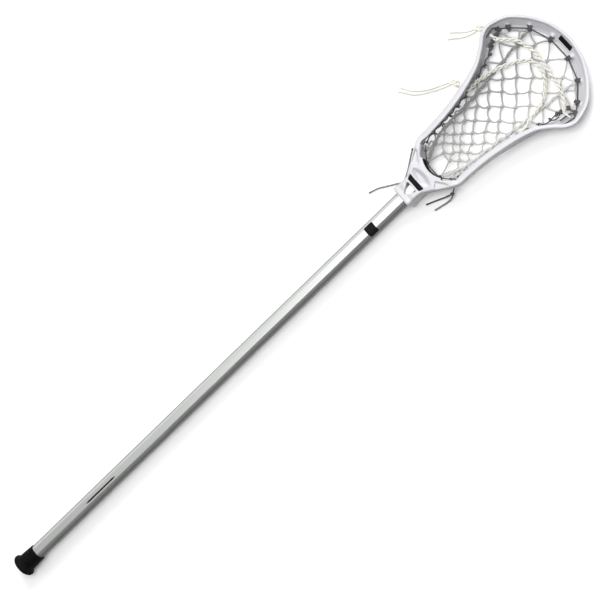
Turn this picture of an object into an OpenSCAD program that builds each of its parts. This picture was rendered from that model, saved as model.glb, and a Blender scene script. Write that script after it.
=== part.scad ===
// Women's lacrosse stick: octagonal shaft, rubber butt cap and a moulded head
// with a strung mesh pocket. It lies face up: +Y runs from butt to scoop,
// +X to the right of the head and +Z up, out of the open face.

/* [Stick] */
// Overall length, butt to scoop
stick_len = 1086; // [1000:1:1100]
// Shaft width across its main flats
shaft_w = 20.8; // [19:0.1:22]
// Wall thickness of the shaft
shaft_wall = 1.6; // [1.2:0.1:2.5]

/* [Butt cap] */
// Radius of the flared end
cap_flare_r = 17.5; // [17:0.1:18.5]
// Length of the cap
cap_len = 36; // [30:1:45]
// Thickness of the cap's closed end
cap_end = 6; // [4:0.5:8]

/* [Head] */
// Length of the head, socket end to scoop
head_len = 307; // [300:1:315]
// Depth of the shaft inside the socket
socket_depth = 40; // [36:1:42]
// Width of the top rail beside the pocket
rail_w = 9.6; // [8:0.1:11]
// Width of the top rail round the scoop and at the throat
rail_end_w = 6.4; // [5:0.1:8]
// Width of the bottom rail
foot_w = 5.2; // [4:0.1:7]
// Thickness of the sidewall between the rails
web_w = 3.4; // [2.5:0.1:4]

/* [Pocket] */
// Thickness of the mesh
mesh_t = 1.6; // [1:0.1:2.5]
// Depth of the pocket below its edges
pocket_sag = 5.5; // [2:0.5:6]
// Diameter of the sidewall and top strings
string_d = 2.4; // [2:0.1:3]
// Diameter of the white laces
lace_d = 3.2; // [2.5:0.1:4]
// Diameter of the laces' free tails
tail_d = 2.6; // [2:0.1:3]

/* [Hidden] */
$fn = 48;
axis_z = cap_flare_r;              // height of the shaft's axis
head_y = stick_len - head_len;     // y of the socket's end, from the butt
shaft_y0 = cap_end;                // the tube stands on the cap's closed end
shaft_y1 = head_y + socket_depth;
clear = 0.3;                       // gap between neighbouring solids
screw_y = head_y + 16;             // the head screw, on the underside of the socket
screw_r = 1.8;
screw_head_r = 3.4;
stop_r = 36;                       // radius of the ball stop
stop_y = 49;                       // its lowest point, from the socket's end
pad_h = 13;                        // height of the pad on it
plate_top = 32.4;                  // top of the throat's front plate
badge_z = plate_top - 0.6;         // floor of the badge's seat

// Right half of the head's outline: x, y from the socket end, top and bottom
// height, and how far the foot of the wall stands in from its top edge.
half_rim = [
    [17, 27, 33, 3, 1], [28, 45, 33, 7, 1.2], [37, 58, 33, 11, 1.2], [43, 71, 32.5, 13, 1.2],
    [43.8, 90, 32.5, 13, 1.2], [46, 120, 32.5, 10, 1.2], [50, 145, 32.5, 5.5, 1.2], [55, 169, 32.5, 1, 1.8],
    [62.5, 192, 31.5, 0, 3.4], [74, 209, 29, 2, 6], [86, 223, 26.5, 3.5, 10],
    [90.5, 239, 24.5, 5, 13], [83, 263, 22.5, 6.5, 14], [70, 278, 21, 7.5, 14.5],
    [53, 291, 20, 8, 15], [30, 302, 19.2, 8, 15], [0, 307, 19, 8, 15]];
mirrored = [for (i = [len(half_rim) - 2:-1:0])
    [-half_rim[i][0], half_rim[i][1], half_rim[i][2], half_rim[i][3], half_rim[i][4]]];
rim = concat(half_rim, mirrored);

// Catmull-Rom curve through a list of points, n steps to each span
function span(p0, p1, p2, p3, t) =
    0.5 * (2 * p1 + (p2 - p0) * t + (2 * p0 - 5 * p1 + 4 * p2 - p3) * t * t
    + (3 * p1 - p0 - 3 * p2 + p3) * t * t * t);
function curve(p, n) = let (m = len(p) - 1) concat(
    [for (i = [0:m - 1], k = [0:n - 1])
        span(p[max(i - 1, 0)], p[i], p[i + 1], p[min(i + 2, m)], k / n)], [p[m]]);
function unit(v) = v / norm(v);

// Faces of a tube of rings with s points each, closed at both ends
function tube_faces(rings, s) = concat(
    [[for (j = [s - 1:-1:0]) j]],
    [for (i = [0:rings - 2], j = [0:s - 1])
        [i * s + j, i * s + (j + 1) % s, (i + 1) * s + (j + 1) % s, (i + 1) * s + j]],
    [[for (j = [0:s - 1]) (rings - 1) * s + j]]);

// Round cord of diameter d along a smooth curve through the route's points
module cord(route, d, n = 2) {
    path = [for (p = curve(route, n)) [p[0], p[1], max(p[2], d / 2)]];
    m = len(path) - 1;
    sides = 8;
    points = [for (i = [0:m])
        let (t = unit(path[min(i + 1, m)] - path[max(i - 1, 0)]),
             side = unit(cross(t, [0, 0.02, 1])),
             up = cross(side, t))
        for (j = [0:sides - 1])
            path[i] + d / 2 * (side * cos(360 * j / sides) + up * sin(360 * j / sides))];
    polyhedron(points, tube_faces(m + 1, sides), convexity = 6);
}

// Everything is drawn from the butt end and moved to the middle of the stick
module stick() { translate([0, -stick_len / 2, 0]) children(); }
module on_axis() { translate([0, 0, axis_z]) rotate([-90, 0, 0]) children(); }

// The shaft's eight-sided section: wide flats, narrower corners
module octagon(w) {
    intersection() {
        square(w, center = true);
        rotate(45) square(w * 1.06, center = true);
    }
}

module shaft() {
    color("silver") stick() difference() {
        translate([0, shaft_y0, 0]) on_axis() linear_extrude(shaft_y1 - shaft_y0) difference() {
            octagon(shaft_w);
            octagon(shaft_w - 2 * shaft_wall);
        }
        translate([0, screw_y, axis_z - shaft_w]) cylinder(r = screw_r, h = shaft_w);
    }
}

module butt_cap() {
    flare_y = 5;
    neck_r = 13.6;
    rim_r = 12.3;
    color("#151515") stick() difference() {
        on_axis() rotate_extrude($fn = 96) polygon([
            [0, 0], [11, 0], [14.5, 1], [cap_flare_r - 0.6, 3], [cap_flare_r, flare_y],
            [cap_flare_r - 0.6, flare_y + 2.2], [neck_r + 1, flare_y + 4.5], [neck_r, flare_y + 6],
            [rim_r, cap_len - 1], [rim_r - 0.5, cap_len], [0, cap_len]]);
        translate([0, cap_end, 0]) on_axis() linear_extrude(cap_len) octagon(shaft_w + 0.02);
    }
}

// Width of the top rail at a distance from the socket's end
function rail_at(y) = lookup(y, [[60, rail_end_w], [78, rail_w], [150, rail_w], [205, rail_end_w]]);

// Section of the head's wall: distance in from the outline, and height
function wall_section(top, bottom, inset, rail) = let (h = top - bottom) [
    [0, top - 0.06 * h], [1.4, top], [rail - 0.6, top], [rail, top - 0.1 * h],
    [0.22 * inset + web_w, top - 0.22 * h], [0.78 * inset + web_w, bottom + 0.24 * h],
    [1.25 * inset + foot_w, bottom + 0.12 * h], [1.25 * inset + foot_w, bottom], [inset, bottom]];

module head_wall() {
    path = curve(rim, 3);
    m = len(path) - 1;
    corners = 9;
    points = [for (i = [0:m])
        let (p = path[i], ahead = path[min(i + 1, m)], behind = path[max(i - 1, 0)],
             t = unit([ahead[0] - behind[0], ahead[1] - behind[1]]),
             section = wall_section(p[2], max(p[3], 0), p[4], rail_at(p[1])))
        for (c = section) [p[0] - t[1] * c[0], p[1] + t[0] * c[0], c[1]]];
    translate([0, head_y, 0]) polyhedron(points, tube_faces(m + 1, corners), convexity = 10);
}

// Plan of the throat between the socket and the ball stop
module throat_plan() {
    difference() {
        polygon([[-12.4, 12], [-14.6, 27], [-25.6, 45.5], [-34.8, 59], [-39, 67], [39, 67],
            [34.8, 59], [25.6, 45.5], [14.6, 27], [12.4, 12]]);
        translate([0, stop_y + stop_r]) circle(r = stop_r, $fn = 96);
    }
}

module head_frame() {
    plate_bottom = 3.6;
    color("white") stick() difference() {
        union() {
            head_wall();
            translate([0, head_y, 0]) on_axis() linear_extrude(30)
                polygon([[-13, -15.3], [13, -15.3], [15.8, -11], [15.8, 11], [13, 15.3],
                    [-13, 15.3], [-15.8, 11], [-15.8, -11]]);
            translate([0, head_y, plate_bottom]) linear_extrude(plate_top - plate_bottom)
                throat_plan();
        }
        translate([0, head_y - 1, 0]) on_axis() linear_extrude(socket_depth + 1)
            octagon(shaft_w + 0.02);
        // the window in the front plate, over the end of the shaft
        translate([0, head_y, axis_z + 5]) linear_extrude(20)
            polygon([[0, 7], [-9, 21], [9, 21]]);
        // seat of the badge
        translate([0, head_y, badge_z]) linear_extrude(2) badge_plan(0.1);
        // the hollow behind the ball stop
        translate([0, head_y, axis_z + 11.5]) linear_extrude(20) intersection() {
            translate([0, 54]) circle(r = 22, $fn = 96);
            translate([0, 14]) circle(r = 30, $fn = 96);
        }
        translate([0, screw_y, -1]) cylinder(r = screw_r + 0.1, h = axis_z);
        translate([0, screw_y, -1]) cylinder(r = screw_head_r + 0.2, h = 4.2);
        // holes where the shooting laces leave through the left wall
        for (p = [upper_lace_ends[2], lower_lace_ends[2]])
            translate([p[0] - 12, head_y + p[1], p[2]]) rotate([0, 90, 0])
                cylinder(r = lace_d / 2 + 0.6, h = 24, $fn = 24);
    }
}

module badge_plan(gap) {
    polygon([[-11.5 - gap, 24 - gap], [11.5 + gap, 24 - gap], [14.2 + gap, 31 + gap],
        [-14.2 - gap, 31 + gap]]);
}

module throat_badge() {
    color("#202020") stick() translate([0, head_y, badge_z]) linear_extrude(0.9) badge_plan(0);
}

module head_screw() {
    thread_len = 9;
    color("dimgray") stick() translate([0, screw_y, 0.9]) {
        cylinder(r = screw_r, h = thread_len);
        difference() {
            cylinder(r = screw_head_r, h = 2.3);
            for (a = [0, 90]) rotate(a) cube([4, 0.9, 2.4], center = true);
        }
    }
}

module ball_stop_pad() {
    pad_t = 3;
    half = 32;
    color("#1c1c1c") stick() translate([0, head_y + stop_y + stop_r, 16]) rotate(-90 - half)
        rotate_extrude(angle = 2 * half, $fn = 144) translate([stop_r - pad_t, 0]) square([pad_t, pad_h]);
}

// The pocket's edge: y from the socket end, half width, height of the edge
pocket = [
    [55.5, 13, 13.8], [62, 20, 15], [70, 28.5, 16.5], [80, 32.5, 17.2], [92, 33.5, 17.2], [120, 35.6, 14.5],
    [145, 39.9, 10.8], [168, 45, 8.8], [188, 51, 9], [205, 57, 9.8], [221, 61, 10.3],
    [239, 65, 10.5], [256, 60, 10.7], [268, 49, 11], [276, 33, 11], [280, 14, 11]];

function pocket_half(y) = lookup(y, [for (p = pocket) [p[0], p[1]]]);
function pocket_edge(y) = lookup(y, [for (p = pocket) [p[0], p[2]]]);
function pocket_z(x, y) = pocket_edge(y)
    - pocket_sag * max(0, 1 - pow((y - 166) / 116, 2)) * (1 - pow(x / pocket_half(y), 2));

module pocket_mesh() {
    rows = curve(pocket, 2);
    m = len(rows) - 1;
    across = [-1:0.25:1];
    points = [for (i = [0:m]) let (y = rows[i][0], half = rows[i][1]) concat(
        [for (u = across) [u * half, head_y + y, pocket_z(u * pocket_half(y), y) + mesh_t / 2]],
        [for (u = across) [-u * half, head_y + y, pocket_z(u * pocket_half(y), y) - mesh_t / 2]])];
    color("whitesmoke") stick() polyhedron([for (row = points, p = row) p],
        tube_faces(m + 1, 18), convexity = 10);
}

// Routes are x, y from the socket end and height. A lace lies on the mesh.
function on_head(route) = [for (p = route) [p[0], head_y + p[1], p[2]]];
function on_mesh(route, d, lift = 0) =
    [for (p = route) [p[0], head_y + p[1], pocket_z(p[0], p[1]) + (mesh_t + d) / 2 + clear + lift]];
function flipped(route) = [for (p = route) [-p[0], p[1], p[2]]];

runner_route = [[16, 60], [21.5, 72], [27.5, 90], [31, 115], [33, 145], [37, 177], [40.5, 210],
    [44, 245], [45, 262], [44, 268]];
sidewall_route = [[34.5, 70, 18.2], [36.4, 90, 18.4], [38.6, 120, 16.2], [42.6, 145, 12.6],
    [47.2, 168, 10.6], [53.4, 188, 11], [62, 210, 12.5]];
top_route = [[-68, 216, 11], [-70, 239, 10], [-64, 259, 10.5], [-48, 273.5, 11],
    [-17, 282.5, 11], [17, 282.5, 11], [48, 273.5, 11], [64, 259, 10.5], [70, 239, 10],
    [68, 216, 11]];
bottom_route = [[-28, 64.5, 14.4], [-20, 57, 13.8], [-10, 52.2, 13.5]];
upper_lace_route = [[66, 233], [56, 243], [41, 250], [25, 253], [8, 256], [-10, 258], [-27, 257],
    [-45, 252], [-57, 243], [-66, 233]];
lower_lace_route = [[46, 170], [43, 190], [39, 208], [34, 225], [23, 239], [10, 247], [-5, 249],
    [-17, 245], [-28, 231], [-37, 212], [-42, 196], [-45, 178], [-44, 160]];
upper_lace_ends = [[77.5, 235, 15], [-73, 231.5, 15], [-80, 230.5, 14], [-87.5, 229, 12]];
lower_lace_ends = [[46.9, 167, 15], [-45.5, 158.6, 13.2], [-53, 158, 12.5], [-57, 156.5, 11]];

module string(route) { color("dimgray") stick() cord(on_head(route), string_d, 1); }
module runner(route) { color("white") stick() cord(on_mesh(route, lace_d), lace_d, 1); }

module left_runner_lace() { runner(flipped(runner_route)); }
module right_runner_lace() { runner(runner_route); }
module top_string() { string(top_route); }
module left_sidewall_string() { string(flipped(sidewall_route)); }
module right_sidewall_string() { string(sidewall_route); }

module bottom_string() {
    string(concat(bottom_route, [for (i = [2:-1:0]) flipped(bottom_route)[i]]));
}

module shooting_lace(route, ends) {
    over_runners = lace_d + clear;
    color("ivory") stick() cord(concat(on_head([ends[0]]), on_mesh(route, lace_d, over_runners),
        on_head([ends[1], ends[2], ends[3]])), lace_d, 1);
}
module upper_shooting_lace() { shooting_lace(upper_lace_route, upper_lace_ends); }
module lower_shooting_lace() { shooting_lace(lower_lace_route, lower_lace_ends); }

// A knot: a short neck of cord from the hole, swelling to a round lump
module knot(neck, end, r, d) {
    stick() {
        v = end - neck;
        long = norm(v);
        translate(on_head([neck])[0]) rotate([0, acos(v[2] / long), atan2(v[1], v[0])])
            rotate_extrude($fn = 32) polygon([[0, 0], [d / 2, 0], [d / 2, 0.2 * long],
                [r, 0.45 * long], [r, 0.8 * long], [0.6 * r, long], [0, long]]);
    }
}

// Where the tails lie: x, y from the socket end, height. They end on the floor.
upper_tail_a_route = [[-100, 221, 7], [-105, 212, 3], [-111, 204.5, tail_d / 2],
    [-117, 198.5, tail_d / 2], [-123.5, 191.5, tail_d / 2]];
upper_tail_b_route = [[-97, 219, 7], [-101, 209, 3], [-106, 200, tail_d / 2],
    [-113, 191, tail_d / 2], [-118.5, 183.5, tail_d / 2]];
lower_tail_a_route = [[-73, 147, 6], [-80, 134, 2.5], [-88, 119, tail_d / 2],
    [-98, 106, tail_d / 2], [-108, 98, tail_d / 2], [-117, 93, tail_d / 2]];
lower_tail_b_route = [[-70, 145.5, 6], [-76.5, 132, 2.5], [-85, 117, tail_d / 2],
    [-95, 102, tail_d / 2], [-106, 94, tail_d / 2], [-115, 87.5, tail_d / 2]];
left_tail_route = [[-40, 48, 9.5], [-34, 37, 5], [-26, 24, 2.5], [-21, 11, string_d / 2],
    [-26, 0, string_d / 2], [-33, -12, string_d / 2], [-38.5, -22, string_d / 2],
    [-42.5, -35, string_d / 2]];
right_tail_long_route = [[39, 47, 8], [35, 38, 4], [29.5, 26, string_d / 2],
    [24.5, 13.5, string_d / 2]];
right_tail_short_route = [[43.5, 48, 8.5], [43, 40, 3.5], [40.8, 29, string_d / 2],
    [38.3, 17.5, string_d / 2]];

module upper_lace_knot() {
    color("ivory") knot([-88, 228.8, 11.9], [-101, 223.5, 8], 3.8, lace_d);
}
module lower_lace_knot() {
    color("ivory") knot([-57.5, 156.3, 10.8], [-72, 149.5, 7], 3.8, lace_d);
}
module left_string_knot() { color("dimgray") knot([-39.5, 57.5, 12], [-42, 49.5, 10.5], 3, string_d); }
module right_string_knot() { color("dimgray") knot([39.5, 57.5, 12], [42, 49.5, 10.5], 3.4, string_d); }
module upper_lace_tail_a() { color("ivory") stick() cord(on_head(upper_tail_a_route), tail_d); }
module upper_lace_tail_b() { color("ivory") stick() cord(on_head(upper_tail_b_route), tail_d); }
module lower_lace_tail_a() { color("ivory") stick() cord(on_head(lower_tail_a_route), tail_d); }
module lower_lace_tail_b() { color("ivory") stick() cord(on_head(lower_tail_b_route), tail_d); }
module left_string_tail() { color("dimgray") stick() cord(on_head(left_tail_route), string_d, 1); }
module right_string_tail_long() {
    color("dimgray") stick() cord(on_head(right_tail_long_route), string_d, 1);
}
module right_string_tail_short() {
    color("dimgray") stick() cord(on_head(right_tail_short_route), string_d, 1);
}

shaft();
butt_cap();
head_frame();
head_screw();
throat_badge();
ball_stop_pad();
pocket_mesh();
top_string();
left_sidewall_string();
right_sidewall_string();
bottom_string();
left_runner_lace();
right_runner_lace();
upper_shooting_lace();
lower_shooting_lace();
upper_lace_knot();
upper_lace_tail_a();
upper_lace_tail_b();
lower_lace_knot();
lower_lace_tail_a();
lower_lace_tail_b();
left_string_knot();
left_string_tail();
right_string_knot();
right_string_tail_long();
right_string_tail_short();
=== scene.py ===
"""A women's lacrosse stick lying face up: octagonal shaft, rubber butt cap, moulded head and strung pocket.

Lengths are in millimetres in head coordinates: x to the right, y from the end of the head's socket towards
the scoop, z up from the floor. The functions that make meshes turn them into the frame's metres.
"""
import math

import bpy
import numpy as np
from mathutils import Matrix, Vector
from mathutils.bvhtree import BVHTree


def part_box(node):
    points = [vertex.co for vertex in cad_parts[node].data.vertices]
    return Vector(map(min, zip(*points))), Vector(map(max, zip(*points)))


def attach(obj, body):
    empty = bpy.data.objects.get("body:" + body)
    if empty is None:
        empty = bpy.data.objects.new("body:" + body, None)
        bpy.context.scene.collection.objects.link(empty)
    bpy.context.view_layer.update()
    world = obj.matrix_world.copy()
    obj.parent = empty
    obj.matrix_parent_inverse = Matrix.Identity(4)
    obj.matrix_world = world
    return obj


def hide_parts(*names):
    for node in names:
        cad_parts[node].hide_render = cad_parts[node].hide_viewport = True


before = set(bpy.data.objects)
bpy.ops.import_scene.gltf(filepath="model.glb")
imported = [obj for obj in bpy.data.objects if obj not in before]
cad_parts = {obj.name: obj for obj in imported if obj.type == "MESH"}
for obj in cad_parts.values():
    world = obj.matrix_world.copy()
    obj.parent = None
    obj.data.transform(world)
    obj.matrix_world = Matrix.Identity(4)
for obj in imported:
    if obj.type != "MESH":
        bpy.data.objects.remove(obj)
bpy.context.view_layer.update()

MM = 0.001
HEAD_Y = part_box("head_frame")[0].y          # the socket's end
AXIS_Z = (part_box("shaft")[0].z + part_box("shaft")[1].z) / 2 / MM
rng = np.random.default_rng(7)


# ---------------------------------------------------------------- helpers

def to_frame(points):
    """Head coordinates in millimetres to the frame's metres."""
    return np.asarray(points, float).reshape(-1, 3) * MM + np.array([0, HEAD_Y, 0])


def make_piece(name, points, faces, material, slot, nodes=(), smooth=True):
    """A mesh piece from points in head coordinates, riding on the one body."""
    mesh = bpy.data.meshes.new(name)
    mesh.from_pydata(to_frame(points).tolist(), [], faces)
    mesh.validate()
    mesh.shade_smooth() if smooth else mesh.shade_flat()
    piece = bpy.data.objects.new(name, mesh)
    bpy.context.scene.collection.objects.link(piece)
    mesh.materials.append(material)
    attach(piece, "root")
    if nodes:
        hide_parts(*nodes)
    return piece


def catmull(points, per_span):
    """A smooth curve through points, with per_span steps between two of them."""
    p = np.asarray(points, float)
    p = np.vstack([2 * p[0] - p[1], p, 2 * p[-1] - p[-2]])
    t = np.linspace(0, 1, per_span, endpoint=False)[:, None]
    spans = [
        0.5 * (2 * b + (c - a) * t + (2 * a - 5 * b + 4 * c - d) * t ** 2 + (3 * b - a - 3 * c + d) * t ** 3)
        for a, b, c, d in zip(p[:-3], p[1:-2], p[2:-1], p[3:])
    ]
    return np.vstack(spans + [p[-2:-1]])


def length_along(line):
    """How far along a line each of its points is."""
    return np.concatenate([[0], np.cumsum(np.linalg.norm(np.diff(line, axis=0), axis=1))])


def resampled(line, step):
    """The line again, with points about step apart."""
    along = length_along(line)
    at = np.linspace(0, along[-1], max(2, int(round(along[-1] / step)) + 1))
    return np.stack([np.interp(at, along, line[:, k]) for k in range(line.shape[1])], axis=1)


def moving_frame(line):
    """Two normals along a line, carried without twist."""
    t = np.gradient(line, axis=0)
    t /= np.maximum(np.linalg.norm(t, axis=1, keepdims=True), 1e-9)
    first = np.cross(t[0], [0, 0, 1.0])
    if np.linalg.norm(first) < 0.1:
        first = np.cross(t[0], [1.0, 0, 0])
    a = [first / np.linalg.norm(first)]
    for k in range(1, len(line)):
        v = a[-1] - np.dot(a[-1], t[k]) * t[k]
        a.append(v / max(np.linalg.norm(v), 1e-9))
    a = np.array(a)
    return a, np.cross(a, t)


def ring_faces(rings, sides):
    """The quads between rings of points."""
    faces = []
    for low in range(0, (rings - 1) * sides, sides):
        for j in range(sides):
            k = (j + 1) % sides
            faces.append([low + j, low + k, low + sides + k, low + sides + j])
    return faces


def end_faces(rings, sides):
    """The faces that close the first and the last ring."""
    return [list(range(sides - 1, -1, -1)), list(range((rings - 1) * sides, rings * sides))]


def tube(line, radius, sides=10, braid=0.0, pitch=4.0):
    """A closed tube along a line. braid is how deep its two crossing helices stand, as a share of the
    radius, and pitch the length of one turn."""
    line = np.asarray(line, float)
    n = len(line)
    a, b = moving_frame(line)
    along = length_along(line)
    angle = np.linspace(0, 2 * math.pi, sides, endpoint=False)
    r = np.broadcast_to(np.asarray(radius, float), (n,))[:, None] * np.ones((1, sides))
    if braid:
        turn = 2 * math.pi * along[:, None] / pitch
        lump = np.maximum(np.cos(2 * (angle[None] + turn)), np.cos(2 * (angle[None] - turn)))
        r = r * (1 - braid + braid * lump)
    ring = (
        line[:, None]
        + a[:, None] * (r * np.cos(angle))[..., None]
        + b[:, None] * (r * np.sin(angle))[..., None]
    )
    return ring.reshape(-1, 3), ring_faces(n, sides) + end_faces(n, sides)


def joined(parts):
    """Several (points, faces) as one."""
    points, faces, n = [], [], 0
    for p, f in parts:
        points.append(p)
        faces += [[v + n for v in face] for face in f]
        n += len(p)
    return np.vstack(points), faces


# ---------------------------------------------------------------- surface of a distance field

def surface_of(field, origin, step):
    """Points and quads of the surface where a field on a grid is zero, one point to each cell it crosses."""
    inside = field < 0
    count = np.zeros(np.array(field.shape) - 1, int)
    total = np.zeros(count.shape + (3,))
    corners = [np.array(c) for c in np.ndindex(2, 2, 2)]

    def part(values, c):
        return values[c[0]:c[0] + count.shape[0], c[1]:c[1] + count.shape[1], c[2]:c[2] + count.shape[2]]

    for c in corners:
        for axis in range(3):
            if c[axis]:
                continue
            d = c.copy()
            d[axis] = 1
            f0, f1 = part(field, c), part(field, d)
            crossed = part(inside, c) != part(inside, d)
            share = np.where(crossed, f0 / np.where(crossed, f0 - f1, 1), 0)
            place = np.broadcast_to(c.astype(float), total.shape).copy()
            place[..., axis] += share
            total += np.where(crossed[..., None], place, 0)
            count += crossed
    used = count > 0
    index = np.full(count.shape, -1)
    index[used] = np.arange(used.sum())
    cells = np.argwhere(used)
    points = (cells + total[used] / count[used][:, None]) * step + origin

    quads = []
    for axis in range(3):
        u, v = [k for k in range(3) if k != axis]
        low = [slice(None)] * 3
        high = [slice(None)] * 3
        low[axis], high[axis] = slice(0, -1), slice(1, None)
        crossing = np.argwhere(inside[tuple(low)] != inside[tuple(high)])
        ok = (crossing[:, u] > 0) & (crossing[:, v] > 0) & (crossing[:, u] < field.shape[u] - 1) \
            & (crossing[:, v] < field.shape[v] - 1)
        crossing = crossing[ok]
        around = []
        for du, dv in ((-1, -1), (0, -1), (0, 0), (-1, 0)):
            cell = crossing.copy()
            cell[:, u] += du
            cell[:, v] += dv
            around.append(index[tuple(cell.T)])
        quad = np.stack(around, 1)
        outward = inside[tuple(crossing.T)] ^ (axis == 1)
        quad = np.where(outward[:, None], quad, quad[:, ::-1])
        quads.append(quad[(quad >= 0).all(1)])
    return points, np.vstack(quads).tolist()


def smooth_union(a, b, k):
    """The union of two fields with a fillet about k wide."""
    h = np.clip(0.5 + 0.5 * (b - a) / k, 0, 1)
    return b + (a - b) * h - k * h * (1 - h)


def polygon_distance(x, y, corners):
    """Distance to a polygon, negative inside."""
    corners = np.asarray(corners, float)
    best = np.full(x.shape, np.inf)
    inside = np.zeros(x.shape, bool)
    for (ax, ay), (bx, by) in zip(corners, np.roll(corners, -1, axis=0)):
        ex, ey = bx - ax, by - ay
        t = np.clip(((x - ax) * ex + (y - ay) * ey) / (ex * ex + ey * ey), 0, 1)
        best = np.minimum(best, np.hypot(x - ax - t * ex, y - ay - t * ey))
        crosses = (ay > y) != (by > y)
        where = (bx - ax) * (y - ay) / np.where(by == ay, 1e-9, by - ay) + ax
        inside ^= crosses & (x < where)
    return np.where(inside, -best, best)


def rounded_box(x, y, half_x, half_y, r):
    """Distance to a rectangle with round corners, negative inside."""
    qx, qy = np.abs(x) - half_x + r, np.abs(y) - half_y + r
    return np.hypot(np.maximum(qx, 0), np.maximum(qy, 0)) + np.minimum(np.maximum(qx, qy), 0) - r


# ---------------------------------------------------------------- camera

turn, roll, tilt = (math.radians(a) for a in (44.05, 13.5, 15.4))
back = Vector((math.sin(roll) * math.cos(tilt), math.sin(tilt), math.cos(roll) * math.cos(tilt)))
along_stick = Vector((-math.sin(roll) * math.sin(tilt), math.cos(tilt), -math.cos(roll) * math.sin(tilt)))
across_stick = Vector((math.cos(roll), 0, -math.sin(roll)))
right = math.cos(turn) * along_stick + math.sin(turn) * across_stick
up = math.sin(turn) * along_stick - math.cos(turn) * across_stick
camera = bpy.data.objects.new("camera", bpy.data.cameras.new("camera"))
bpy.context.scene.collection.objects.link(camera)
bpy.context.scene.camera = camera
camera.data.sensor_width = 36
camera.data.lens = 118.7
camera.data.clip_end = 50
aim = Vector((0, 0.034, AXIS_Z * MM)) + 0.00167 * across_stick
place = Matrix((right, up, back)).transposed().to_4x4()
place.translation = aim + 2.7 * back
camera.matrix_world = place


# ---------------------------------------------------------------- materials

class Graph:
    """A node tree, and short ways to add to it. An input is a number, a tuple, a node's output or None."""

    def __init__(self, tree):
        self.tree = tree
        self.places = self.node("ShaderNodeTexCoord")
        self.where = self.places["Object"]

    def feed(self, sockets, values):
        for socket, value in zip(sockets, values):
            if isinstance(value, (int, float)):
                socket.default_value = value
            elif isinstance(value, tuple):
                socket.default_value = value if len(socket.default_value) == 3 else (*value, 1)
            elif value is not None:
                self.tree.links.new(value, socket)

    def node(self, kind, inputs=(), **properties):
        """A new node's outputs."""
        made = self.tree.nodes.new(kind)
        for key, value in properties.items():
            setattr(made, key, value)
        inputs = dict(inputs)
        self.feed([made.inputs[key] for key in inputs], inputs.values())
        return made.outputs

    def noise(self, scale, detail=4.0, vector=None):
        inputs = {"Scale": scale, "Detail": detail, "Vector": vector or self.where}
        return self.node("ShaderNodeTexNoise", inputs)["Fac"]

    def split(self, vector):
        return self.node("ShaderNodeSeparateXYZ", {0: vector})

    def math(self, how, a, b=None, c=None):
        return self.node("ShaderNodeMath", enumerate((a, b, c)), operation=how)[0]

    def mix(self, factor, a, b, blend="MIX"):
        return self.node("ShaderNodeMix", {0: factor, 6: a, 7: b}, data_type="RGBA", blend_type=blend)[2]

    def mapped(self, value, source, target=(0.0, 1.0), kind="LINEAR"):
        inputs = {"Value": value, "From Min": source[0], "From Max": source[1],
                  "To Min": target[0], "To Max": target[1]}
        return self.node("ShaderNodeMapRange", inputs, interpolation_type=kind)["Result"]


class Look(Graph):
    """A Principled material with its nodes at hand."""

    def __init__(self, name, roughness=0.5, metallic=0.0, coat=0.0, sheen=0.0, specular=0.5):
        self.material = bpy.data.materials.new(name)
        self.material.use_nodes = True
        super().__init__(self.material.node_tree)
        self.shader = self.tree.nodes["Principled BSDF"].inputs
        names = ("Roughness", "Metallic", "Coat Weight", "Sheen Weight", "Specular IOR Level")
        self.feed([self.shader[name] for name in names], (roughness, metallic, coat, sheen, specular))

    def ramp(self, value, stops):
        made = self.tree.nodes.new("ShaderNodeValToRGB")
        band = made.color_ramp
        for k, (at, colour) in enumerate(stops):
            stop = band.elements[k] if k < 2 else band.elements.new(at)
            stop.position = at
            stop.color = (*colour, 1)
        self.feed([made.inputs["Fac"]], [value])
        return made.outputs["Color"]

    def colour(self, output):
        self.feed([self.shader["Base Color"]], [output])

    def rough(self, value, low, high):
        self.feed([self.shader["Roughness"]], [self.mapped(value, (0.0, 1.0), (low, high))])

    def bump(self, height, distance, strength=1.0, before=None):
        inputs = {"Distance": distance, "Strength": strength, "Height": height, "Normal": before}
        normal = self.node("ShaderNodeBump", inputs)["Normal"]
        self.feed([self.shader["Normal"]], [normal])
        return normal


def grey(value):
    return value, value, value


def nylon_look():
    """Glossy white nylon, with painted shade: a light grey on the faces that look away from the head's
    middle.
    """
    look = Look("glossy white nylon", coat=0.15)
    white = look.ramp(look.noise(28), [(0.3, (0.485, 0.478, 0.503)), (0.7, (0.53, 0.525, 0.545))])
    # painted shade: faces turned away from the head's middle are mixed towards grey
    outward = look.math("MULTIPLY", look.split(look.places["Normal"])[0],
                        look.math("SIGN", look.split(look.where)[0]))
    look.colour(look.mix(look.mapped(outward, (0.55, 0.8), (0.0, 0.8)), white, (0.25, 0.25, 0.258)))
    look.rough(look.noise(60), 0.24, 0.36)
    wide = look.bump(look.noise(45, 2), 0.0006, 0.25)
    look.bump(look.noise(1400, 2), 0.00004, 0.5, wide)
    return look.material


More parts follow.
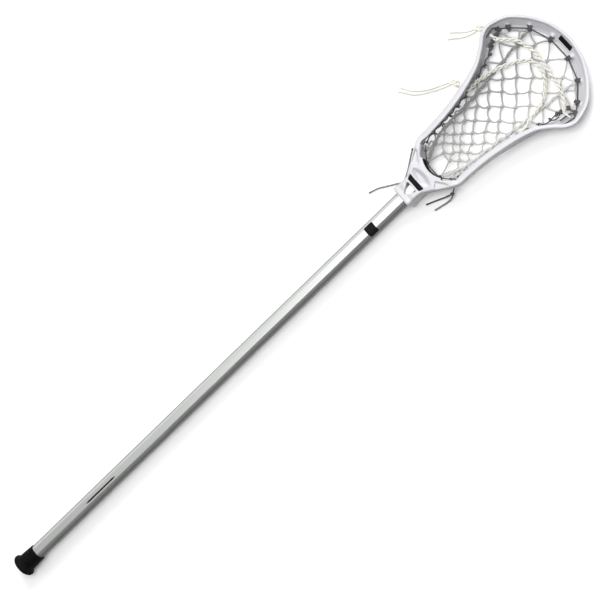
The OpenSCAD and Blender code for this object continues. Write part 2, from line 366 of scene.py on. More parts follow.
def cord_look(name, dark, light, pitch, painted_light_right=None):
    """Braided textile: fine crossing ribs in the piece's own uv, with fuzz and a little soiling.
    painted_light_right
    is painted light and shade: a colour that it gains from the left of the head to the right."""
    look = Look(name, roughness=0.8, sheen=0.25, specular=0.25)
    round_it, down_it = look.split(look.places["UV"])[:2]
    round_it = look.math("MULTIPLY", round_it, 4 * 2 * math.pi)
    down_it = look.math("MULTIPLY", down_it, pitch * 2 * math.pi)
    one = look.math("SINE", look.math("ADD", round_it, down_it))
    other = look.math("SINE", look.math("SUBTRACT", round_it, down_it))
    ribs = look.math("MULTIPLY_ADD", look.math("MAXIMUM", one, other), 0.5, 0.5)
    fuzz = look.noise(2600, 3)
    soil = look.math("MULTIPLY", look.noise(55, 5), 0.24)
    worn = look.mix(soil, look.mix(ribs, dark, light), tuple(0.55 * c for c in light))
    colour = look.mix(look.math("MULTIPLY", fuzz, 0.35), worn, tuple(min(1, 1.05 * c) for c in light))
    if painted_light_right:
        # painted light and shade: the cord is made lighter from the left of the head to its right
        across = look.mapped(look.split(look.where)[0], (-0.035, 0.035), kind="SMOOTHSTEP")
        colour = look.mix(across, colour, painted_light_right, "ADD")
    look.colour(colour)
    first = look.bump(ribs, 0.00035, 0.8)
    look.bump(fuzz, 0.0001, 0.6, first)
    return look.material


def alloy_look():
    """Satin anodised alloy with fine draw lines along the tube, and painted shade: a darker grey towards its
    two sides.
    """
    look = Look("satin silver alloy", roughness=0.34, metallic=0.8)
    stretched = look.node("ShaderNodeMapping", {"Vector": look.where, "Scale": (1, 0.01, 1)})["Vector"]
    streaks = look.noise(900, 3, stretched)
    cloud = look.noise(9, 3)
    silver = look.mix(look.math("MULTIPLY", streaks, 0.5), (0.56, 0.57, 0.56), (0.68, 0.69, 0.68))
    silver = look.mix(look.math("MULTIPLY", cloud, 0.25), silver, (0.50, 0.51, 0.50))
    # painted shade: the shaft's two sides are mixed towards near black
    out = look.math("ABSOLUTE", look.split(look.where)[0])
    look.colour(look.mix(look.mapped(out, (0.0066, 0.0103), (0.0, 0.93)), silver, (0.05, 0.05, 0.048)))
    look.rough(streaks, 0.30, 0.46)
    look.bump(streaks, 0.00003, 0.6)
    return look.material


def plain_look(name, tones, rough=None, bumps=(), **shader):
    """A mottled material: a noise's scale and its colour stops, a noise's scale and its range of roughness,
    and bumps, each a noise's scale and detail, the depth and the strength."""
    look = Look(name, **shader)
    look.colour(look.ramp(look.noise(tones[0]), tones[1:]))
    if rough:
        look.rough(look.noise(rough[0]), *rough[1:])
    before = None
    for scale, detail, distance, strength in bumps:
        before = look.bump(look.noise(scale, detail), distance, strength, before)
    return look.material


def foam_look():
    look = Look("black closed-cell foam", specular=0.08)
    cells = look.node("ShaderNodeTexVoronoi", {"Scale": 1500, "Vector": look.where})["Distance"]
    look.colour(look.ramp(cells, [(0.0, grey(0.002)), (0.6, grey(0.009))]))
    look.rough(look.noise(300), 0.75, 0.95)
    look.bump(cells, 0.0003, 0.9)
    return look.material


NYLON = nylon_look()
ALLOY = alloy_look()
FOAM = foam_look()
RUBBER = plain_look("black rubber", [220, (0.35, grey(0.002)), (0.75, grey(0.006))], (90, 0.55, 0.8),
                    [(500, 2, 0.0001, 0.5), (3200, 2, 0.00005, 0.6)], specular=0.06)
BADGE = plain_look("black printed film", [350, (0.3, grey(0.005)), (0.7, grey(0.012))], (120, 0.55, 0.75),
                   [(900, 2, 0.00004, 0.5)], specular=0.06)
FLOOR = plain_look("pale studio floor", [3, (0.3, grey(0.925)), (0.7, grey(0.945))], None,
                   [(60, 3, 0.0004, 0.2)], roughness=0.7, specular=0.2)
STEEL = plain_look("zinc-plated steel", [400, (0.3, (0.42, 0.42, 0.43)), (0.7, (0.60, 0.60, 0.61))],
                   (700, 0.22, 0.45), [(1800, 2, 0.00003, 0.5)], metallic=1.0)
# painted light and shade: the net is greyer on the left of the head and cream on its right
MESH = cord_look("white mesh cord", (0.20, 0.20, 0.20), (0.40, 0.40, 0.40), 700, (0.17, 0.168, 0.145))
GREY = cord_look("grey string", (0.05, 0.05, 0.052), (0.24, 0.24, 0.245), 500)
DARK = cord_look("dark grey string", (0.012, 0.012, 0.013), (0.085, 0.085, 0.09), 500)
WHITE = cord_look("white runner lace", (0.28, 0.28, 0.275), (0.62, 0.62, 0.61), 420)
# painted shade: a darker copy of the white runner lace, for the left runner
SHADED_LACE = cord_look("white runner lace in painted shade", (0.11, 0.11, 0.11), (0.30, 0.30, 0.295), 420)
CREAM = cord_look("cream shooting lace", (0.40, 0.39, 0.35), (0.80, 0.785, 0.72), 450)


# ---------------------------------------------------------------- the free tails: they are cords

TAIL_D = 2.6
STRING_D = 2.4
LONGEST_STEP = 0.02             # metres: a longer one is the jump from one tube to the next


def strand_uv(piece, sides):
    """u round the tube and v along it, in metres, on a piece of whole tubes."""
    mesh = piece.data
    layer = mesh.uv_layers.new(name="UVMap")
    corner_vertex = np.empty(len(mesh.loops), int)
    mesh.loops.foreach_get("vertex_index", corner_vertex)
    place = np.empty(len(mesh.vertices) * 3)
    mesh.vertices.foreach_get("co", place)
    place = place.reshape(-1, 3)
    rings = place.reshape(-1, sides, 3).mean(axis=1)
    step = np.linalg.norm(np.diff(rings, axis=0), axis=1)
    step[step > LONGEST_STEP] = 0
    down = np.concatenate([[0], np.cumsum(step)])
    u = (corner_vertex % sides) / sides
    first = np.empty(len(mesh.polygons), int)
    total = np.empty(len(mesh.polygons), int)
    mesh.polygons.foreach_get("loop_start", first)
    mesh.polygons.foreach_get("loop_total", total)
    quads = first[total == 4]
    for k in (1, 2):
        wraps = quads[u[quads + k] == 0]
        u[wraps + k] = 1.0
    layer.data.foreach_set("uv", np.stack([u, down[corner_vertex // sides]], 1).ravel())


def strand_piece(name, cords, material, slot, nodes=(), sides=10, **shape):
    """One piece from several cords, each a line and its radius."""
    points, faces = joined([tube(line, radius, sides, **shape) for line, radius in cords])
    piece = make_piece(name, points, faces, material, slot, nodes)
    strand_uv(piece, sides)
    return piece


def tail(node, route, diameter, material, slot):
    """A free tail lying on the floor, a little thicker at its cut end, and its cord."""
    line = resampled(catmull(route, 12), 0.9)
    line[:, 2] = np.maximum(line[:, 2], diameter / 2)
    radius = np.full(len(line), diameter / 2 * 0.98)
    radius[-3:] *= [1.12, 1.18, 1.05]
    radius[0] *= 0.9
    piece = strand_piece(node + "_piece", [(line, radius)], material, slot, [node], 12, braid=0.06, pitch=4.5)


def sag_bit(line, depth):
    """A slack strand: it hangs a little between its ends."""
    t = np.linspace(0, 1, len(line))
    line = line.copy()
    line[:, 2] -= depth * 4 * t * (1 - t)
    return line


def between(a, b, steps=12, sag=0.0):
    """A strand from one place to another."""
    t = np.linspace(0, 1, steps)[:, None]
    return sag_bit(np.asarray(a, float) * (1 - t) + np.asarray(b, float) * t, sag)


def overhand(at, size, direction):
    """A knotted cord: a trefoil line about a place, its own axis along a direction."""
    t = np.linspace(0, 2 * math.pi, 90)
    shape = np.stack([np.sin(t) + 2 * np.sin(2 * t), np.cos(t) - 2 * np.cos(2 * t), -1.15 * np.sin(3 * t)], 1)
    axis = Vector(direction).normalized()
    turned = shape @ np.array(axis.to_track_quat("X", "Z").to_matrix()).T
    return np.asarray(at, float) + turned * size


def knot_piece(node, neck, turns, tails, size, radius, material, slot):
    """A knot between the end that comes out of its hole and the tails that leave it."""
    toward = np.asarray(turns[-1], float) - np.asarray(neck, float)
    cords = []
    for k, at in enumerate(turns):
        cords.append((overhand(at, size * (1 - 0.12 * k), toward + np.array([0, 0, 0.5 * k])), radius))
    half_way = (np.asarray(neck) * 0.5 + np.asarray(turns[0]) * 0.5).tolist()
    cords.append((resampled(catmull([neck, half_way, turns[0]], 6), 0.8), radius * 1.05))
    cords += [(between(turns[-1], route[0], 8), radius * 0.95) for route in tails]
    return strand_piece(node + "_piece", cords, material, slot, [node], braid=0.08, pitch=4)


UPPER_TAILS = [
    [[-100, 221, 7], [-105, 212, 3], [-111, 204.5, 1.3], [-117, 198.5, 1.3], [-123.5, 191.5, 1.3]],
    [[-97, 219, 7], [-101, 209, 3], [-106, 200, 1.3], [-113, 191, 1.3], [-118.5, 183.5, 1.3]],
]
LOWER_TAILS = [
    [[-73, 147, 6], [-80, 134, 2.5], [-88, 119, 1.3], [-98, 106, 1.3], [-108, 98, 1.3], [-117, 93, 1.3]],
    [[-70, 145.5, 6], [-76.5, 132, 2.5], [-85, 117, 1.3], [-95, 102, 1.3], [-106, 94, 1.3],
     [-115, 87.5, 1.3]],
]
LEFT_TAIL = [[-40, 48, 9.5], [-34, 37, 5], [-26, 24, 2.5], [-21, 11, 1.2], [-26, 0, 1.2], [-33, -12, 1.2],
             [-38.5, -22, 1.2], [-42.5, -35, 1.2]]
RIGHT_LONG = [[39, 47, 8], [35, 38, 4], [29.5, 26, 1.2], [24.5, 13.5, 1.2]]
RIGHT_SHORT = [[43.5, 48, 8.5], [43, 40, 3.5], [40.8, 29, 1.2], [38.3, 17.5, 1.2]]

upper_knot = knot_piece("upper_lace_knot", [-86, 229.4, 12.4], [[-93.5, 226.5, 10.2], [-98, 224, 8.8]],
                        UPPER_TAILS, 1.35, 1.35, CREAM, "cream_lace")
lower_knot = knot_piece("lower_lace_knot", [-56.5, 156.8, 11], [[-63.5, 153.8, 9.0], [-68.8, 150.8, 7.8]],
                        LOWER_TAILS, 1.3, 1.35, CREAM, "cream_lace")
left_knot = knot_piece("left_string_knot", [-37.5, 58.5, 12], [[-40.6, 51, 10.6]], [LEFT_TAIL],
                       0.6, 0.9, DARK, "dark_string")
right_knot = knot_piece("right_string_knot", [37.5, 58.5, 12], [[40.6, 51.5, 10]],
                        [RIGHT_LONG, RIGHT_SHORT], 0.7, 1.0, DARK, "dark_string")
tail("upper_lace_tail_a", UPPER_TAILS[0], TAIL_D, CREAM, "cream_lace")
tail("upper_lace_tail_b", UPPER_TAILS[1], TAIL_D, CREAM, "cream_lace")
tail("lower_lace_tail_a", LOWER_TAILS[0], TAIL_D, CREAM, "cream_lace")
tail("lower_lace_tail_b", LOWER_TAILS[1], TAIL_D, CREAM, "cream_lace")
tail("left_string_tail", LEFT_TAIL, STRING_D, GREY, "dark_string")
tail("right_string_tail_long", RIGHT_LONG, STRING_D, DARK, "dark_string")
tail("right_string_tail_short", RIGHT_SHORT, STRING_D, GREY, "dark_string")


# ---------------------------------------------------------------- the head

SCOOP_Y = 232                   # the middle of the scoop's curve
STOP_R, STOP_Y = 36, 85         # the ball stop's arc and its centre
THROAT_Z, THROAT_HALF = 18, 14.4        # the throat's middle height and half its depth
LIP_Z, LIP_HALF = 30.9, 1.4             # the lip along the ball stop
SOCKET, SOCKET_LEN = (15.8, 15.3, 5.0), 30      # half its width and height, its corners' radius
COLLAR, COLLAR_LEN = (16.6, 15.9, 5.4), 5.2
BORE_FLAT, BORE_CORNER, BORE_DEPTH = 10.41, 11.03, 40
SCREW_Y, SCREW_R, SCREW_DEPTH = 16, 3.7, 3.2
SEAT_Z = 31.8                   # what the badge lies on
HOLE_PITCH, HOLE_R = 12.5, 1.4  # the stringing holes
LACE_HOLES, LACE_HOLE_R = ((-80, 230.5, 14), (-53, 158, 12.5)), 2.2
SIDES_FROM = 118                # how far along the outline from the scoop's middle the side walls start
FAR = 9.0                       # a distance that counts as outside
# right half of the outline: x, y, top and bottom of the wall, and how far its foot stands in
HALF_RIM = [
    [17, 27, 33, 3, 1], [28, 45, 33, 7, 1.2], [37, 58, 33, 11, 1.2], [43, 71, 32.5, 13, 1.2],
    [43.8, 90, 32.5, 13, 1.2], [46, 120, 32.5, 10, 1.2], [50, 145, 32.5, 5.5, 1.2], [55, 169, 32.5, 1, 1.8],
    [62.5, 192, 31.5, 0, 3.4], [74, 209, 29, 2, 6], [86, 223, 26.5, 3.5, 10],
    [90.5, 239, 24.5, 5, 13], [83, 263, 22.5, 6.5, 14], [70, 278, 21, 7.5, 14.5],
    [53, 291, 20, 8, 15], [30, 302, 19.2, 8, 15], [0, 307, 19, 8, 15],
]
RIM = catmull(HALF_RIM + [[-p[0]] + p[1:] for p in HALF_RIM[-2::-1]], 6)
RIM_ALONG = length_along(RIM[:, :2])
RIM_ALONG -= RIM_ALONG[-1] / 2          # 0 at the middle of the scoop, negative on the right
KNOTS = [(17.3, 284), (47.5, 273.8), (68, 254.5), (77, 243.5)]
FOOT_W, WEB_W = 5.2, 3.4


def on_rim(x, y):
    """How far in from the outline a place is, its length along the outline, and the wall's three values."""
    x, y = np.asarray(x, float), np.asarray(y, float)
    best = np.full(x.shape, np.inf)
    found = np.zeros(x.shape + (4,))
    rows = np.column_stack([RIM_ALONG, RIM[:, 2:]])
    for k in range(len(RIM) - 1):
        a, e = RIM[k, :2], RIM[k + 1, :2] - RIM[k, :2]
        t = np.clip(((x - a[0]) * e[0] + (y - a[1]) * e[1]) / (e @ e), 0, 1)
        far = np.hypot(x - a[0] - t * e[0], y - a[1] - t * e[1])
        nearer = far < best
        best = np.where(nearer, far, best)
        values = rows[k] + t[..., None] * (rows[k + 1] - rows[k])
        found = np.where(nearer[..., None], values, found)
    inside = polygon_distance(x, y, RIM[:, :2]) < 0
    return np.where(inside, best, -best), found[..., 0], found[..., 1], found[..., 2], found[..., 3]


def wall_field(depth, top, bottom, inset, rail, z):
    """Distance to the wall's section, which changes from column to column."""
    h = top - bottom
    zero = 0 * h
    corners = [
        (zero, top - 0.06 * h), (zero + 1.4, top), (rail - 0.6, top), (rail, top - 0.1 * h),
        (0.22 * inset + WEB_W, top - 0.22 * h), (0.78 * inset + WEB_W, bottom + 0.24 * h),
        (1.25 * inset + FOOT_W, bottom + 0.12 * h), (1.25 * inset + FOOT_W, bottom), (inset, bottom),
    ]
    shape = np.broadcast_shapes(depth.shape, z.shape)
    return polygon_distance(np.broadcast_to(depth, shape), np.broadcast_to(z, shape), corners)


def blurred(field):
    """The field with its sharp edges eased."""
    for axis in range(3):
        padded = np.pad(field, [(1, 1) if k == axis else (0, 0) for k in range(3)], mode="edge")
        n = field.shape[axis]
        low, mid, high = (np.take(padded, range(s, s + n), axis=axis) for s in (0, 1, 2))
        field = 0.25 * low + 0.5 * mid + 0.25 * high
    return field


def wall_with_slots(x, y, zs):
    """The side walls and the scoop, with the panel, the holes and the slots cut from them."""
    depth, along, top, bottom, inset = on_rim(x, y)
    rail = np.interp(y, [60, 78, 150, 205], [6.4, 9.6, 9.6, 6.4])
    near = (depth > -5) & (depth < 34)
    columns = (depth, along, top, bottom, inset, rail)
    depth, along, top, bottom, inset, rail = (values[near][:, None] for values in columns)
    z = zs[None, :]
    wall = wall_field(depth, top, bottom, inset, rail, z)

    # the recessed panel along the outside of the wall, and the stringing holes through its foot
    h = top - bottom
    middle = (top + bottom) / 2
    side = np.abs(along) > SIDES_FROM
    panel = np.maximum(np.abs(z - middle) - 0.27 * h, depth - 0.7 - 0.5 * inset)
    wall = np.maximum(wall, -np.where(side & (top > 30), panel, FAR))
    off = (along + 40 * HOLE_PITCH) % HOLE_PITCH - HOLE_PITCH / 2
    foot = bottom + 0.2 * h
    holes = np.hypot(off, z - foot - 2.2) - HOLE_R
    wall = np.maximum(wall, -np.where(side & (depth > -5) & (depth < 8), holes, FAR))

    # slots behind the lip that the top string is tied to
    edges = sorted([abs(float(on_rim(np.array(kx), np.array(ky))[1])) for kx, ky in KNOTS])
    spans = [(-edges[0], edges[0])]
    spans += [(s * a, s * b) for a, b in zip(edges[:2], edges[1:3]) for s in (1, -1)]
    for a, b in spans:
        slot = rounded_box(along - (a + b) / 2, depth - 18.6, abs(b - a) / 2 - 6, 0.9, 0.9)
        wall = np.maximum(wall, -(slot + 0 * z))
    field = np.full(x.shape + (len(zs),), FAR)
    field[near] = wall
    return field


def throat_plan(x, y):
    """Distance to the throat seen from above, behind the ball stop's arc."""
    half = [(12.4, 12), (14.6, 27), (25.6, 45.5), (34.8, 59), (39, 67)]
    plan = polygon_distance(x, y, [(-a, b) for a, b in half] + half[::-1])
    return np.maximum(plan, STOP_R - np.hypot(x, y - STOP_Y))


def with_throat(wall, x, y, z):
    """The wall joined to the throat and the socket. x and y are a grid in plan, z its heights."""
    x3, y3, axis = x[:, :, None], y[:, :, None], z - AXIS_Z
    throat = np.maximum(throat_plan(x, y)[:, :, None], np.abs(z - THROAT_Z) - THROAT_HALF)
    lip = np.maximum(np.abs(np.hypot(x, y - STOP_Y) - STOP_R) - 2.9,
                     np.abs(x) - 19.5 - 0.1 * np.abs(y - 50))
    lip = np.maximum(np.maximum(lip, y - 60)[:, :, None], np.abs(z - LIP_Z) - LIP_HALF)
    throat = np.minimum(throat, lip)
    socket = np.maximum(rounded_box(x3, axis, *SOCKET), np.abs(y3 - SOCKET_LEN / 2) - SOCKET_LEN / 2)
    collar = np.maximum(rounded_box(x3, axis, *COLLAR), np.abs(y3 - COLLAR_LEN / 2) - COLLAR_LEN / 2)
    return smooth_union(smooth_union(wall, throat, 2.5), smooth_union(socket, collar, 1.5), 3.0)


def cut_throat(part, x, y, z):
    """What is cut from the throat: the bore, the window, the badge's seat, the hollows, the screw's hole."""
    x3, axis = np.abs(x[:, :, None]), np.abs(z - AXIS_Z)
    bore = np.maximum(np.maximum(x3, axis) - BORE_FLAT, (x3 + axis) / math.sqrt(2) - BORE_CORNER)
    part = np.maximum(part, -np.maximum(bore, y[:, :, None] - BORE_DEPTH))
    window = polygon_distance(x, y, [(0, 8.2), (-7.6, 20), (7.6, 20)]) - 1.0
    seat = polygon_distance(x, y, [(-11.6, 23.9), (11.6, 23.9), (14.3, 31.1), (-14.3, 31.1)])
    lens = np.maximum(np.hypot(x, y - 54) - 22, np.hypot(x, y - 14) - 30)
    from_above = [(window, 22.5), (seat, SEAT_Z), (lens, 31.0), (lens + 2.2, 29.7)]
    for s in (-1, 1):
        recess = [(s * 17.5, 48.5), (s * 24, 42.5), (s * 33.5, 58.5), (s * 29, 57)]
        from_above.append((polygon_distance(x, y, recess) - 0.4, 30.6))
    for shape, floor_z in from_above:
        part = np.maximum(part, -np.maximum(shape[:, :, None] + 0 * z, floor_z - z))
    # the open back, a hollow on each side of a rib, and the screw's hole
    back_hollow = np.maximum(throat_plan(x, y) + 4.0, 32 - y)
    back_hollow = np.maximum(back_hollow, 1.4 - np.abs(x))
    screw = np.hypot(x, y - SCREW_Y) - SCREW_R
    for shape, top_z in ((back_hollow, 9), (screw, SCREW_DEPTH)):
        part = np.maximum(part, -np.maximum(shape[:, :, None] + 0 * z, z - top_z))
    return part


def with_bosses(field, x, y, z):
    """A boss with a hole at each of the first three knots of the top string, and the holes that the laces
    leave by.
    """
    for kx, ky in KNOTS[:3]:
        reach = math.hypot(kx, ky - SCOOP_Y)
        out, inward = 1 + 5.2 / reach, 1 + 1.5 / reach
        for s in (-1, 1):
            cx, cy = s * kx * out, SCOOP_Y + (ky - SCOOP_Y) * out
            boss = np.sqrt((x - cx) ** 2 + (y - cy) ** 2 + ((z - 11.5) * 1.1) ** 2) - 3.6
            field = smooth_union(field, boss, 1.5)
            hole = np.hypot(x - s * kx * inward, y - SCOOP_Y - (ky - SCOOP_Y) * inward) - 1.5
            field = np.maximum(field, -np.maximum(hole + 0 * z, np.abs(z - 11) - 8))
    for hx, hy, hz in LACE_HOLES:
        hole = np.maximum(np.hypot(y - hy, z - hz) - LACE_HOLE_R, np.abs(x - hx) - 12)
        field = np.maximum(field, -hole)
    return field


def head_surface(step):
    """The whole moulding, as a surface with cells of one size."""
    origin = np.array([-94.5, -2.0, -1.5])
    xs, ys, zs = (np.arange(start, end, step) for start, end in zip(origin, (95, 311, 36)))
    x, y = np.meshgrid(xs, ys, indexing="ij")
    z = zs[None, None, :]
    field = wall_with_slots(x, y, zs)
    low = ys < 100
    throat = with_throat(field[:, low], x[:, low], y[:, low], z)
    field[:, low] = cut_throat(throat, x[:, low], y[:, low], z)
    field = with_bosses(field, x[:, :, None], y[:, :, None], z)
    return surface_of(blurred(field), origin, step)


head_mesh = head_surface(0.95)
head = make_piece("head_piece", *head_mesh, NYLON, "head", ["head_frame"])


# ---------------------------------------------------------------- pocket

# the net's edge: y, how far out it is, and its height
POCKET = np.array([
    [55.5, 13, 13.8], [62, 20, 15], [70, 28.5, 16.5], [80, 32.5, 17.2], [92, 33.5, 17.2], [120, 35.6, 14.5],
    [145, 39.9, 10.8], [168, 45, 8.8], [188, 51, 9], [205, 57, 9.8], [221, 61, 10.3], [239, 65, 10.5],
    [256, 60, 10.7], [268, 49, 11], [276, 33, 11], [280, 14, 11],
])
SAG, SAG_Y, SAG_REACH = 5.5, 166, 116       # how deep the net hangs, where, and how far from there it ends


def pocket_half(y):
    """How far out the net's edge is."""
    return np.interp(y, POCKET[:, 0], POCKET[:, 1])


def pocket_z(x, y):
    """The net's height."""
    across = np.clip(x / pocket_half(y), -1, 1)
    sag = SAG * np.maximum(0, 1 - ((y - SAG_Y) / SAG_REACH) ** 2) * (1 - across ** 2)
    return np.interp(y, POCKET[:, 0], POCKET[:, 2]) - sag


def cell_width(y):
    """How far apart the net's columns are."""
    return np.interp(y, [80, 110, 150, 190, 240, 270], [7.6, 8.8, 11, 13, 14, 14])


ROWS = [80, 89.5, 98, 107, 118, 129, 140.5, 152, 164, 176, 189.5, 203, 217.5, 232, 247, 262]
nodes = {}
for j, row in enumerate(ROWS):
    for k in range(-4, 5):
        if (k + j) % 2 == 0:        # the first row has the odd columns
            continue
        y = row + (rng.normal(0, 1.5) if abs(k) < 3 else 0)
        x = k * cell_width(row) + (rng.normal(0, 1.4) if abs(k) < 3 else 0)
        if abs(k) == 4:
            x = math.copysign(pocket_half(row) + 0.5, k)
        nodes[k, j] = np.array([x, y, pocket_z(x, y)])

STRAND_R = 1.12
strands, lumps = [], []


def strand(a, b, bow=0.0, sag=0.0):
    """One strand of the net, bowed to its side."""
    a, b = np.asarray(a, float), np.asarray(b, float)
    t = np.linspace(0, 1, max(6, int(np.linalg.norm(b - a) / 1.6)))[:, None]
    side = np.array([-(b - a)[1], (b - a)[0], 0]) / max(1e-6, np.hypot(*(b - a)[:2]))
    line = a + (b - a) * t + side * bow * np.sin(math.pi * t)
    strands.append((sag_bit(line, sag), STRAND_R))


TIP = 2.1                       # half the length over which four strands run together at a crossing
for (k, j), at in nodes.items():
    tip = TIP if abs(k) < 4 else 0.0
    for step in (-1, 1):
        other = nodes.get((k + step, j + 1))
        if other is None:
            continue
        tip_other = TIP if abs(k + step) < 4 else 0.0
        strand(at + [step * 0.9, tip, 0], other - [step * 0.9, tip_other, 0],
               bow=-step * rng.normal(1.1, 0.8), sag=rng.uniform(0.2, 0.8))
    if abs(k) < 4:
        lumps.append(at)

# the crossings: four strands side by side under a turn of cord
for at in lumps:
    lean = rng.normal(0, 0.35)
    for s in (-1, 1):
        line = np.array([[at[0] + s * 0.9 + lean * t, at[1] + TIP * t, at[2] + 0.35 * s * t]
                         for t in np.linspace(-1.25, 1.25, 7)])
        strands.append((line, 1.05))
    turns = np.linspace(0, 2.2 * 2 * math.pi, 26)
    coil = np.stack([at[0] + 2.0 * np.cos(turns), at[1] - 1.1 + 2.2 * turns / turns[-1],
                     at[2] + 1.45 * np.sin(turns)], 1)
    strands.append((coil, 0.62))

# the top: from the last rows to the knots of the top string
TOP = {s * k: np.array([s * x, y, 11.0]) for s in (-1, 1) for k, (x, y) in enumerate(KNOTS, 1)}
last = len(ROWS) - 1
for s in (-1, 1):
    strand(nodes[0, last] + [s, TIP, 0], TOP[s] - [0, 2, 0], bow=s * 0.8)
    strand(nodes[s * 2, last] + [0, TIP, 0], TOP[s] - [0, 2, 0], bow=-s * 0.8)
    strand(nodes[s * 2, last] + [0, TIP, 0], TOP[2 * s] - [0, 2, 0], bow=-s * 1.2)
    strand(nodes[s * 4, last], TOP[2 * s] - [0, 2, 0], bow=s)
    strand(nodes[s * 4, last], TOP[3 * s] - [0, 1, 0])
    strand(nodes[s * 3, last - 1] + [s, 0, 0], TOP[4 * s] - [s * 6, 1, 0], bow=s * 1.5)
# the bottom: round the open cell over the ball stop
for s in (-1, 1):
    inner, outer, side = [s * 13, 57, 14.2], [s * 25.5, 64.8, 15.6], [s * 30.5, 79, 17]
    strand(nodes[s, 0] - [0, TIP, 0], inner, bow=s * 0.7)
    strand(nodes[s * 3, 0] - [0, TIP, 0], inner, bow=-s * 1.2)
    strand(nodes[s * 3, 0] - [0, TIP, 0], outer, bow=s * 0.7)
    strand(side, outer)
    strand(nodes[s * 3, 0] + [s, 0, 0], side)
strand(nodes[-1, 0] - [-1, 0.5, 0], nodes[1, 0] - [1, 0.5, 0], bow=-1.0)

strand_piece("pocket_mesh_piece", strands, MESH, "mesh", ["pocket_mesh"], 8)


# ---------------------------------------------------------------- laces and strings

def over_mesh(route, lift):
    """A line over the net, from a route in plan."""
    line = resampled(catmull(route, 8), 1.0)
    return np.column_stack([line, pocket_z(line[:, 0], line[:, 1]) + lift])


def twisted(line, spread, pitch, phase=0.0, flat=0.8):
    """Two lines that turn round a third."""
    a, b = moving_frame(line)
    along = length_along(line)
    found = []
    for turn in (0, math.pi):
        angle = 2 * math.pi * along / pitch + phase + turn
        found.append(line + spread * (a * np.cos(angle)[:, None] + flat * b * np.sin(angle)[:, None]))
    return found


RUNNER = [[16, 60], [21.5, 72], [27.5, 90], [31, 115], [33, 145], [37, 177], [40.5, 210], [44, 245],
          [46, 262], [46.5, 270]]
for name, s in (("left", -1), ("right", 1)):
    line = over_mesh([[s * x, y] for x, y in RUNNER], 2.2)
    t = np.arange(len(line))
    line[:, 0] += 0.7 * np.sin(t / 11.5 * math.pi)
    line[:, 2] += 0.5 * np.cos(t / 5.7 * math.pi)
    pair = [(side, 1.35) for side in twisted(line, 1.15, 22, phase=s, flat=0.5)]
    # the left runner gets the copy of the lace with painted shade
    strand_piece(name + "_runner_piece", pair, WHITE if s > 0 else SHADED_LACE, "white_lace",
                 [name + "_runner_lace"], braid=0.09, pitch=5)

UPPER_LACE = [[66, 233], [56, 243], [41, 250], [25, 253], [8, 256], [-10, 258], [-27, 257], [-45, 252],
              [-57, 243], [-66, 233]]
LOWER_LACE = [[46, 170], [43, 190], [39, 208], [34, 225], [23, 239], [10, 247], [-5, 249], [-17, 245],
              [-28, 231], [-37, 212], [-42, 196], [-45, 178], [-44, 160]]
LACES = {
    "upper": (UPPER_LACE, [[77.5, 235, 15]], [[-73, 231.5, 15], [-80, 230.5, 14], [-87.5, 229, 12]]),
    "lower": (LOWER_LACE, [[47.5, 167, 14]], [[-45.5, 158.6, 13.2], [-53, 158, 12.5], [-57, 156.5, 11]]),
}
for name, (route, start, end) in LACES.items():
    middle = over_mesh(route, 5.2)
    ends = catmull([middle[-1].tolist()] + end, 10)
    starts = catmull(start + [middle[0].tolist()], 10)
    line = resampled(np.vstack([starts[:-1], middle, ends[1:]]), 0.9)
    t = np.linspace(0, 1, len(line))
    wide = np.clip(np.minimum(t, 1 - t) * 14 - 0.4, 0.12, 1)[:, None]
    pair = [(line + (side - line) * wide, 1.3) for side in twisted(line, 1.75, 17, flat=0.6)]
    strand_piece(name + "_lace_piece", pair, CREAM, "cream_lace", [name + "_shooting_lace"],
                 braid=0.1, pitch=4.5)


def wrap(at, axis, radius, turns, spread, phase=0.0):
    """Turns of cord round an axis through a place, as a line."""
    axis = np.asarray(axis, float) / np.linalg.norm(axis)
    a = np.cross(axis, [0, 0, 1.0])
    a /= np.linalg.norm(a)
    b = np.cross(a, axis)
    angle = np.linspace(0, turns * 2 * math.pi, int(turns * 14)) + phase
    move = np.linspace(-spread / 2, spread / 2, len(angle))
    wobble = 1 + 0.08 * np.sin(3.1 * angle)
    return np.asarray(at, float) + axis * move[:, None] \
        + (a * np.cos(angle)[:, None] + b * np.sin(angle)[:, None]) * radius * wobble[:, None]


def string_piece(name, cords, node):
    """A piece of the dark string."""
    strand_piece(name, cords, DARK, "dark_string", [node], braid=0.08, pitch=3.6)


def mirrored(s, at):
    """A place on the head's right side, or the same one on its left."""
    return [s * at[0], at[1], at[2]]


cords = []
places = [(-x, y) for x, y in KNOTS[::-1]] + KNOTS
for (ax, ay), (bx, by) in zip(places[:-1], places[1:]):
    cords.append((between([ax, ay, 11.4], [bx, by, 11.4], sag=0.3), 1.0))
for k, (x, y) in enumerate(places):
    before, after = places[max(k - 1, 0)], places[min(k + 1, len(places) - 1)]
    axis = [after[0] - before[0], after[1] - before[1], 0]
    out = np.array([x, y - SCOOP_Y]) / math.hypot(x, y - SCOOP_Y)
    outside = [x + out[0] * 1.4, y + out[1] * 1.4, 11.6]
    inside = [x - out[0] * 2.0, y - out[1] * 2.0, 11.4]
    cords.append((wrap(outside, axis, 2.9, 3.2, 5.6, phase=k), 1.1))
    cords.append((wrap(inside, [out[0], out[1], 0.3], 1.9, 2.2, 3.6, phase=2 * k), 0.95))
# from the last knot down the inside of the wall, with the wraps beside it
ENDS = [([77, 243.5, 12], [71.5, 236, 11.5]), ([77.5, 246, 14], [81.5, 238, 18]),
        ([81.5, 238, 18], [78.5, 224, 17]), ([71.5, 236, 11.5], [70, 222, 11.5])]
for s in (-1, 1):
    cords += [(between(mirrored(s, a), mirrored(s, b)), 1.1) for a, b in ENDS]
string_piece("top_string_piece", cords, "top_string")

